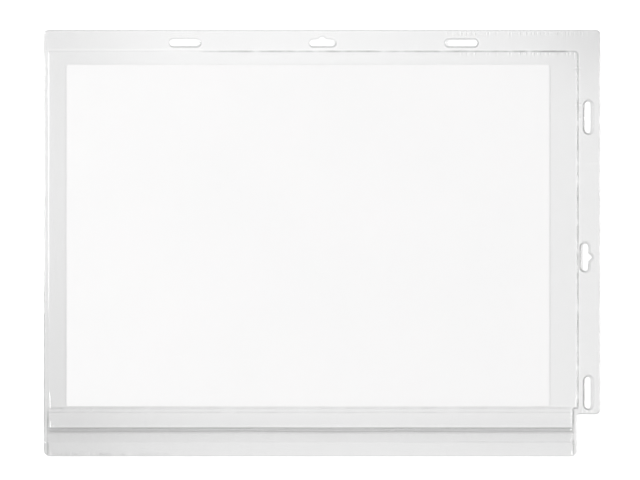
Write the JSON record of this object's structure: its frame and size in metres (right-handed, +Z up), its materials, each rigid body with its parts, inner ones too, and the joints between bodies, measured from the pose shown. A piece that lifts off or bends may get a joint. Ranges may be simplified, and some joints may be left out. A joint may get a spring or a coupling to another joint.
{
  "type": "waterproof document pocket",
  "caption": "Clear flat document pocket with a press-seal closure along one edge and a punched hanging flange along two others, holding a blank sheet.",
  "frame": {"origin": "middle of the pocket's outline, on the surface that its back ply lies on", "axes": "+X to the right along the closure, +Y from the closure towards the top flange, +Z up through the front ply"},
  "size_m": [0.342, 0.262, 0.0025],
  "materials": {
    "clear_film": "gloss",
    "clear_profile": "gloss",
    "white_paper": "matte"
  },
  "bodies": {
    "root": {"back_film": "clear_film", "front_film": "clear_film", "back_zip_strip": "clear_profile", "front_zip_strip": "clear_profile", "document_sheet": "white_paper"}
  },
  "joints": []
}
